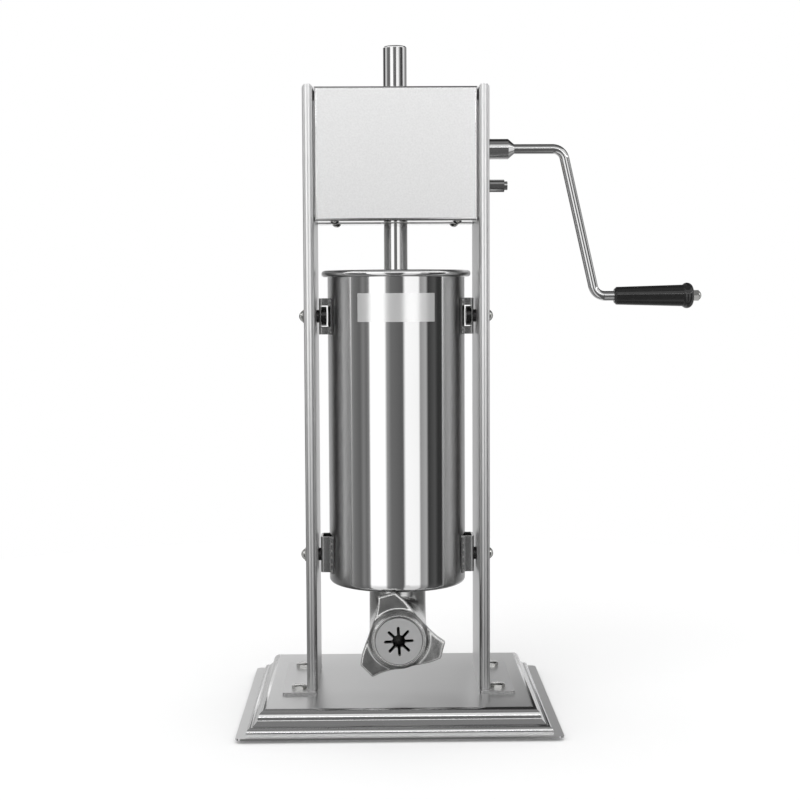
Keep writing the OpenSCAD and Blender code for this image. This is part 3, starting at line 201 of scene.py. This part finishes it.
finishes = {
    "tray": metalFinish("traySteel", {
        **satinSheet, "stretch": (0.08, 1.0, 1.0), "roughness": 0.32}),
    "upright": metalFinish("uprightSteel", {
        **uprightSheet, **greys(0.84, 0.86), "roughness": 0.38}),
    # the uprights' rounded fronts get painted shade, darker towards the ground
    "uprightFront": metalFinish("uprightFrontSteel", {
        **uprightSheet, **greys(0.86, 0.88), "roughness": 0.35, "paintedShade": (0.08, 0.42, 0.42)}),
    "cover": metalFinish("coverSteel", {
        **satinSheet, **greys(0.78, 0.95), "metallic": 0.72, "roughness": 0.48,
        "grainScale": 700.0, "cloudScale": 600.0, "bump": 0.4}),
    "fold": metalFinish("foldSteel", {
        **satinSheet, "roughness": 0.14, "grainDepth": 0.0, "bump": 0.0}),
    "chassis": metalFinish("chassisSteel", satinSheet),
    "cylinder": metalFinish("cylinderSteel", {**brightBar, "stretch": (1.0, 1.0, 0.02)}),
    "bracket": metalFinish("bracketSteel", {
        **satinSheet, **greys(0.36, 0.42), "stretch": (1.0, 1.0, 0.2), "roughness": 0.22}),
    "cast": metalFinish("castSteel", {
        **satinSheet, "colour": (0.40, 0.40, 0.40), "worn": (0.64, 0.64, 0.63), "roughness": 0.20,
        "grainDepth": 0.16, "grainScale": 160.0, "cloudScale": 90.0,
        "bump": 0.25, "bumpDepth": 0.0004}),
    "die": metalFinish("dieSteel", {
        **satinSheet, **greys(0.54, 0.58), "roughness": 0.5, "grainScale": 500.0}),
    "bar": metalFinish("barSteel", brightBar),
    "crank": metalFinish("crankSteel", {
        **brightBar, **greys(0.58, 0.62), "roughness": 0.10, "grainDepth": 0.0, "bump": 0.0}),
    "shaft": metalFinish("shaftSteel", {**brightBar, **greys(0.45, 0.50)}),
    "fastener": metalFinish("fastenerSteel", {
        **satinSheet, "colour": (0.55, 0.55, 0.54), "worn": (0.62, 0.62, 0.60), "roughness": 0.2}),
    "gear": metalFinish("gearSteel", {
        **satinSheet, "colour": (0.36, 0.36, 0.37), "worn": (0.42, 0.42, 0.42)}),
    "bronze": metalFinish("bushBronze", {
        **satinSheet, "colour": (0.62, 0.42, 0.22), "worn": (0.68, 0.47, 0.26)}),
    "foil": metalFinish("labelFoil", {
        **satinSheet, **greys(0.80, 0.84), "metallic": 0.6, "roughness": 0.2, "grainDepth": 0.0,
        "cloudDepth": 0.0, "bump": 0.0}),
    "grip": plasticFinish("gripPlastic", {
        **blackMoulding, "roughness": 0.13, "cloudDepth": 0.02, "bump": 0.0}),
    "spool": plasticFinish("spoolPlastic", blackMoulding),
    "foot": plasticFinish("rubberAndPaintedShadow", {
        **blackMoulding, "roughness": 0.75, "cloudDepth": 0.10, "bump": 0.2}),
    "bush": plasticFinish("bushPlastic", paleMoulding),
    "seal": plasticFinish("sealSilicone", {**paleMoulding, "roughness": 0.55}),
}
print("finishes made:", len(finishes))

nodeFinish = {
    "tray": ["base_tray"],
    "upright": ["left_upright", "right_upright"],
    "cover": ["front_cover", "rear_cover"],
    "chassis": ["gearbox_chassis", "rod_guide_plate", "left_bearing_plate"],
    "cylinder": ["batter_cylinder", "cylinder_floor"],
    "bracket": ["upper_brackets", "lower_brackets"],
    "cast": ["outlet_spout", "wing_nut"],
    "die": ["star_die"],
    "bar": ["rack_rod", "piston_top_plate", "piston_bottom_plate"],
    "crank": ["crank_arm"],
    "fastener": ["base_bolts", "base_washers", "base_nuts", "cover_screws", "cover_nuts",
                 "chassis_bolts", "chassis_nuts", "hook_bolts", "hook_washers", "acorn_nuts",
                 "piston_nut", "air_valve_pin", "air_valve_spring", "grip_nut"],
    "shaft": ["fast_shaft", "slow_shaft"],
    "gear": ["rack_pinion", "fast_gear", "fast_keys", "fast_rings", "slow_pinion", "slow_key",
             "slow_rings"],
    "bronze": ["shaft_bushes_left", "shaft_bushes_right", "air_valve_cage"],
    "grip": ["grip"],
    "spool": ["hook_spools"],
    "foot": ["rubber_feet"],
    "bush": ["rod_bush_lower", "rod_bush_upper"],
    "seal": ["piston_seal", "spout_gasket"],
}
finishOf = {node: finish for finish, group in nodeFinish.items() for node in group}
bodyOf = {node: body for body, group in frame["record"]["behaviour"]["bodies"].items()
          for node in group}

for node, made in frame["nodes"].items():
    made.data.materials.clear()
    made.data.materials.append(finishes[finishOf[node]])


def placePiece(name, shape, finish, body, node=None):
    # a finished bmesh becomes a piece that rides on its body
    mesh = bpy.data.meshes.new(name)
    shape.to_mesh(mesh)
    shape.free()
    piece = bpy.data.objects.new(name, mesh)
    bpy.context.scene.collection.objects.link(piece)
    mesh.materials.append(finishes[finish])
    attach(piece, body)
    if node:
        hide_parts(node)
    return piece


def softEdges(shape, limit):
    # smooth shading, with a crease wherever two faces meet at more than the limit in degrees
    for face in shape.faces:
        face.smooth = True
    for edge in shape.edges:
        edge.smooth = edge.is_manifold and edge.calc_face_angle(0.0) < math.radians(limit)


def mergedCopy(node):
    # the CAD shape with the corners of its loose triangles joined
    shape = bmesh.new()
    shape.from_mesh(frame["nodes"][node].data)
    bmesh.ops.remove_doubles(shape, verts=shape.verts, dist=mergeDistance)
    return shape


# The tray's cove in mm: heights of its foot and top, how far the roll at its foot reaches out,
# where that reach is measured from along x and y, and how near its own line a corner has to be
coveSettings = {
    "foot": 11.8, "top": 16.6, "roll": 9.0, "rollEdge": (127.9, 112.4), "share": 1.0, "near": 0.06,
}


def openCove(shape, s):
    # opens the tray's cove, so that it runs down to the bead more evenly
    for vert in shape.verts:
        drop = s["top"] - vert.co.z / mm
        radius = s["top"] - s["foot"]
        if 0 < drop < radius:
            inner = s["roll"] + radius - math.sqrt(radius * radius - drop * drop)
            for axis, edge in enumerate(s["rollEdge"]):
                if abs(abs(vert.co[axis]) / mm - edge - inner) < s["near"]:
                    further = (s["roll"] + drop - inner) * s["share"] * mm
                    vert.co[axis] += math.copysign(further, vert.co[axis])


# Sheets with a brushed side wherever a face looks along one of the axes, and the finish of
# everything else on them: folds, mouldings and rounded fronts
brushedSides = {
    "cover": {"axes": [1], "least": 0.98, "other": "fold"},
    "tray": {"axes": [2], "least": 0.985, "other": "fold"},
    "upright": {"axes": [0, 2], "least": 0.98, "other": "uprightFront"},
}
ownCopies = ("air_valve_spring", "wing_nut")  # these two are made further down
creaseLimit = 35.0


def smoothCopy(node, limit=creaseLimit):
    # the CAD shape again, with its round faces shaded as round
    shape = mergedCopy(node)
    if node == "base_tray":
        openCove(shape, coveSettings)
    softEdges(shape, limit)
    flat = brushedSides.get(finishOf[node])
    if flat:
        for face in shape.faces:
            brushed = any(abs(face.normal[axis]) > flat["least"] for axis in flat["axes"])
            face.material_index = 0 if brushed else 1
    piece = placePiece(node + "_smooth", shape, finishOf[node], bodyOf[node], node)
    if flat:
        piece.data.materials.append(finishes[flat["other"]])
    return piece


for node in sorted(frame["nodes"]):
    if node not in ownCopies:
        smoothCopy(node)
print("pieces smoothed")

springSettings = {"travel": 2.52, "crease": 75.0}


def makeSpring(s):
    # the air valve's spring, which its knob presses together, as a smooth copy with a mesh of its
    # own
    spring = smoothCopy("air_valve_spring", s["crease"])
    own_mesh(spring)


makeSpring(springSettings)
print("spring made")

nutSettings = {
    "voxel": 0.55, "axisHeight": 86.0, "boreDepth": 10.0, "boreKeep": 1.0, "noseLength": 6.6,
    "smoothing": 16, "smoothShare": 0.5, "bodyRadius": 29.5, "wingBack": 19.0,
    "wingThickness": 10.0, "taper": 0.06, "spread": 1.12, "crease": 50.0,
}


def voxelShape(shape, size):
    # rebuilds a closed shape from small voxels, which blends its joins
    rough = bpy.data.meshes.new("rough")
    shape.to_mesh(rough)
    shape.free()
    block = bpy.data.objects.new("rough", rough)
    bpy.context.scene.collection.objects.link(block)
    voxels = block.modifiers.new("voxels", "REMESH")
    voxels.mode = "VOXEL"
    voxels.voxel_size = size
    blended = bmesh.new()
    blended.from_object(block, bpy.context.evaluated_depsgraph_get())
    bpy.data.objects.remove(block)
    bpy.data.meshes.remove(rough)
    return blended


def makeWingNut(s):
    # the cast nut: its wings run into the body and thin out towards their tips
    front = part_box("wing_nut")[0][1]
    axis = s["axisHeight"] * mm

    def fromAxis(vert):
        return math.hypot(vert.co.x, vert.co.z - axis)

    shape = mergedCopy("wing_nut")
    boreStart = front + s["boreDepth"] * mm
    bore = min(fromAxis(vert) for vert in shape.verts if vert.co.y > boreStart)
    shape = voxelShape(shape, s["voxel"] * mm)
    reach = {vert: fromAxis(vert) for vert in shape.verts}
    soft = [vert for vert in shape.verts
            if reach[vert] > bore + s["boreKeep"] * mm and vert.co.y > front + s["noseLength"] * mm]
    for _ in range(s["smoothing"]):
        bmesh.ops.smooth_vert(shape, verts=soft, factor=s["smoothShare"],
                              use_axis_x=True, use_axis_y=True, use_axis_z=True)
    for vert in soft:
        past = max(reach[vert] - s["bodyRadius"] * mm, 0.0)
        grow = 1.0 + past * (s["spread"] - 1.0) / reach[vert]  # smoothing has drawn the wings in
        vert.co.x *= grow
        vert.co.z = axis + (vert.co.z - axis) * grow
        share = (front + s["wingBack"] * mm - vert.co.y) / (s["wingThickness"] * mm)
        vert.co.y += past * s["taper"] * min(max(share, 0.0), 1.0)
    softEdges(shape, s["crease"])
    placePiece("wing_nut_cast", shape, "cast", bodyOf["wing_nut"], "wing_nut")


makeWingNut(nutSettings)
print("wing nut made")

weldSettings = {
    "radius": 71.0, "angle": 19.2, "size": 1.5, "flat": 0.45, "segments": 14, "rings": 8,
    "upper": 403.5, "upperRows": (-16, -11.5, 11.5, 16),
    "lower": 158.0, "lowerRows": (-14, -7, 0, 7, 14), "crease": 80.0,
}


def makeWelds(s):
    # small welds down the edges of the brackets' tabs
    shape = bmesh.new()
    rows = [s["upper"] + row for row in s["upperRows"]]
    rows += [s["lower"] + row for row in s["lowerRows"]]
    flatten = Matrix.Diagonal((s["flat"], 1.0, 1.0, 1.0))
    for side in (0.0, 180.0):
        for lean in (-s["angle"], s["angle"]):
            turn = Matrix.Rotation(math.radians(side + lean), 4, "Z")
            for height in rows:
                place = turn @ Matrix.Translation((s["radius"] * mm, 0.0, height * mm))
                bmesh.ops.create_uvsphere(shape, u_segments=s["segments"], v_segments=s["rings"],
                                          radius=s["size"] * mm, matrix=place @ flatten)
    softEdges(shape, s["crease"])
    placePiece("bracketWelds", shape, "fastener", "stand")


makeWelds(weldSettings)
print("welds made")

labelSettings = {
    "left": -38.7, "right": 37.2, "bottom": 398.7, "top": 426.9, "radius": 70.0, "lift": 0.02,
    "thickness": 0.15, "steps": 28, "crease": 30.0,
}


def makeLabel(s):
    # a blank foil label, spun round the cylinder's front
    reach = (s["radius"] + s["lift"]) * mm
    start = math.asin(s["left"] / s["radius"])
    turn = math.asin(s["right"] / s["radius"]) - start
    shape = bmesh.new()
    corners = [shape.verts.new((0.0, -reach, s[side] * mm)) for side in ("bottom", "top")]
    edge = shape.edges.new(corners)
    bmesh.ops.rotate(shape, verts=corners, cent=(0, 0, 0), matrix=Matrix.Rotation(start, 3, "Z"))
    bmesh.ops.spin(shape, geom=corners + [edge], cent=(0, 0, 0), axis=(0, 0, 1), angle=turn,
                   steps=s["steps"], use_merge=False, use_duplicate=False)
    bmesh.ops.recalc_face_normals(shape, faces=shape.faces)
    if shape.faces[0].normal.y > 0:
        bmesh.ops.reverse_faces(shape, faces=shape.faces)
    bmesh.ops.solidify(shape, geom=shape.faces[:], thickness=-s["thickness"] * mm)
    bmesh.ops.recalc_face_normals(shape, faces=shape.faces)
    softEdges(shape, s["crease"])
    placePiece("blankLabel", shape, "foil", "stand")


makeLabel(labelSettings)
print("label made")

# painted shadow lines round the foot plates: their width, thickness and how high a foot corner may
# reach above the deck
shadowLineSettings = {"width": 0.8, "thickness": 0.12, "reach": 1.0}


def makeShadowLines(s):
    # painted shadow: a thin black strip round each foot plate on the tray, where the shadow line
    # between plate and tray falls
    shape = bmesh.new()
    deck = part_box("base_tray")[1][2]
    edge = s["width"] * mm
    for node in ("left_upright", "right_upright"):
        corners = [vert.co for vert in frame["nodes"][node].data.vertices]
        foot = [co for co in corners if co.z < deck + s["reach"] * mm]
        left, right = min(co.x for co in foot) - edge, max(co.x for co in foot) + edge
        front, back = min(co.y for co in foot) - edge, max(co.y for co in foot) + edge
        outer = [shape.verts.new((x, y, deck))
                 for x, y in ((left, front), (right, front), (right, back), (left, back))]
        plate = shape.faces.new(outer)
        bmesh.ops.inset_region(shape, faces=[plate], thickness=edge, use_boundary=True,
                               use_even_offset=True)
        shape.faces.remove(plate)
    bmesh.ops.solidify(shape, geom=shape.faces[:], thickness=s["thickness"] * mm)
    bmesh.ops.recalc_face_normals(shape, faces=shape.faces)
    rise = deck - min(vert.co.z for vert in shape.verts)
    bmesh.ops.translate(shape, verts=shape.verts, vec=(0, 0, rise))
    placePiece("footShadowLines", shape, "foot", "stand")


makeShadowLines(shadowLineSettings)
print("seams made")

floorSettings = {"radius": 1.1, "segments": 96, "colour": (0.99, 0.99, 0.99), "roughness": 0.9}


def makeFloor(s):
    shape = bmesh.new()
    bmesh.ops.create_circle(shape, cap_ends=True, segments=s["segments"], radius=s["radius"])
    mesh = bpy.data.meshes.new("floor")
    shape.to_mesh(mesh)
    shape.free()
    floor = bpy.data.objects.new("floor", mesh)
    bpy.context.scene.collection.objects.link(floor)
    paint, inputs, _ = startFinish("floorPaint")
    inputs["Base Color"].default_value = (*s["colour"], 1.0)
    inputs["Roughness"].default_value = s["roughness"]
    inputs["Specular IOR Level"].default_value = 0.0
    mesh.materials.append(paint)
    floor.visible_glossy = False


# The studio that the metal reflects. Places are degrees: rings go round from the camera's side,
# rises go up from the horizon. Each comes with a brightness or a share.
studioSettings = {
    # brightness round the horizon, and how much of that ring shows at each height
    "ring": [(-180, 1.0), (-163, 0.5), (-149, 0.33), (-135, 0.08), (-122, 0.05), (-112, 0.13),
             (-104, 0.55), (-97, 1.3), (-89, 0.48), (-76, 0.22), (-64, 0.15), (-58, 0.28),
             (-52, 0.19), (-47, 0.3), (-45, 1.5), (-20, 1.5), (-17, 0.42), (-10, 0.2), (10, 0.13),
             (14, 1.35), (37, 1.3), (39, 0.38), (50, 0.54), (53, 0.05), (66, 0.11), (72, 0.04),
             (81, 0.04), (84, 1.2), (109, 0.5), (135, 0.2), (180, 1.0)],
    "ringRise": [(-90, 0.0), (-75, 0.0), (-55, 0.6), (-14, 0.6), (-11.8, 1.0), (12.5, 1.0),
                 (15, 0.0), (90, 0.0)],
    # brightness above and below the ring, before and behind the object, and the share of each
    "frontRise": [(-90, 0.10), (-50, 0.12), (-13, 0.14), (13, 0.3), (17, 0.5), (18, 4.0),
                  (20.5, 4.0), (21.5, 0.7), (27, 0.9), (44, 1.2), (50, 0.22), (90, 0.28)],
    "backRise": [(-90, 0.6), (-20, 1.0), (-4, 1.0), (22, 0.88), (26, 0.12), (45, 0.17),
                 (90, 0.24)],
    "frontShare": [(-180, 0.0), (-115, 0.0), (-85, 1.0), (85, 1.0), (115, 0.0), (180, 0.0)],
    # the room behind is brighter on the left
    "backRing": [(-180, 0.80), (-173, 1.35), (-150, 1.4), (-100, 0.9), (100, 0.6), (150, 0.20),
                 (173, 0.16), (180, 0.80)],
}


def makeWorld(s):
    world = bpy.data.worlds.new("studio")
    bpy.context.scene.world = world
    world.use_nodes = True
    tree = world.node_tree
    wire = Wire(tree)
    look = wire.node("ShaderNodeTexCoord", {}, {}, "Generated")
    x, y, z = (wire.node("ShaderNodeSeparateXYZ", {}, {"Vector": look}, axis) for axis in "XYZ")
    turn = wire.maths("ARCTAN2", x, 0.0 - y) / (2 * math.pi) + 0.5
    rise = wire.maths("ARCSINE", z) / math.pi + 0.5

    def along(place, span, stops):
        stops = [(angle / span + 0.5, value) for angle, value in stops]
        return wire.node("ShaderNodeValToRGB", {"stops": stops}, {"Fac": place})

    front = along(turn, 360, s["frontShare"])
    share = along(rise, 180, s["ringRise"])
    back = (1.0 - front) * along(rise, 180, s["backRise"]) * along(turn, 360, s["backRing"])
    sky = front * along(rise, 180, s["frontRise"]) + back
    studio = share * along(turn, 360, s["ring"]) + (1.0 - share) * sky
    glossy = wire.node("ShaderNodeLightPath", {}, {}, "Is Glossy Ray")
    seen = glossy * studio + (1.0 - glossy)  # all but reflections see plain white
    seen.feed(tree.nodes["Background"].inputs["Color"])


lampSettings = {"place": (-0.9, -1.4, 2.2), "target": (0.0, 0.0, 0.3), "size": 1.4, "power": 8.0}


def makeLamp(s):
    light = bpy.data.lights.new("softLamp", "AREA")
    light.size = s["size"]
    light.energy = s["power"]
    lamp = bpy.data.objects.new("softLamp", light)
    bpy.context.scene.collection.objects.link(lamp)
    lamp.location = s["place"]
    aim = Vector(s["target"]) - Vector(s["place"])
    lamp.rotation_euler = aim.to_track_quat("-Z", "Y").to_euler()
    lamp.visible_glossy = False


# Where the photo was taken from, in mm and radians
cameraSettings = {
    "place": (-18.678, -1608.646, 430.411), "yaw": -0.0138, "pitch": 0.0703, "roll": 0.005,
    "lens": 70.63, "sensor": 36.0, "nearest": 10.0,
}


def makeCamera(s):
    data = bpy.data.cameras.new("photoCamera")
    data.sensor_width = s["sensor"]
    data.lens = s["lens"]
    data.clip_start = s["nearest"] * mm
    camera = bpy.data.objects.new("photoCamera", data)
    bpy.context.scene.collection.objects.link(camera)
    ahead = Vector((-math.sin(s["yaw"]) * math.cos(s["pitch"]),
                    math.cos(s["yaw"]) * math.cos(s["pitch"]),
                    -math.sin(s["pitch"])))
    levelRight = Vector((math.cos(s["yaw"]), math.sin(s["yaw"]), 0.0))
    levelUp = levelRight.cross(ahead)
    right = levelRight * math.cos(s["roll"]) - levelUp * math.sin(s["roll"])
    up = levelRight * math.sin(s["roll"]) + levelUp * math.cos(s["roll"])
    turn = Matrix((right, up, -ahead)).transposed()
    camera.matrix_world = Matrix.Translation(Vector(s["place"]) * mm) @ turn.to_4x4()
    bpy.context.scene.camera = camera


makeFloor(floorSettings)
makeWorld(studioSettings)
makeLamp(lampSettings)
makeCamera(cameraSettings)
bpy.context.scene.view_settings.view_transform = "Standard"
print("floor, light and camera made")
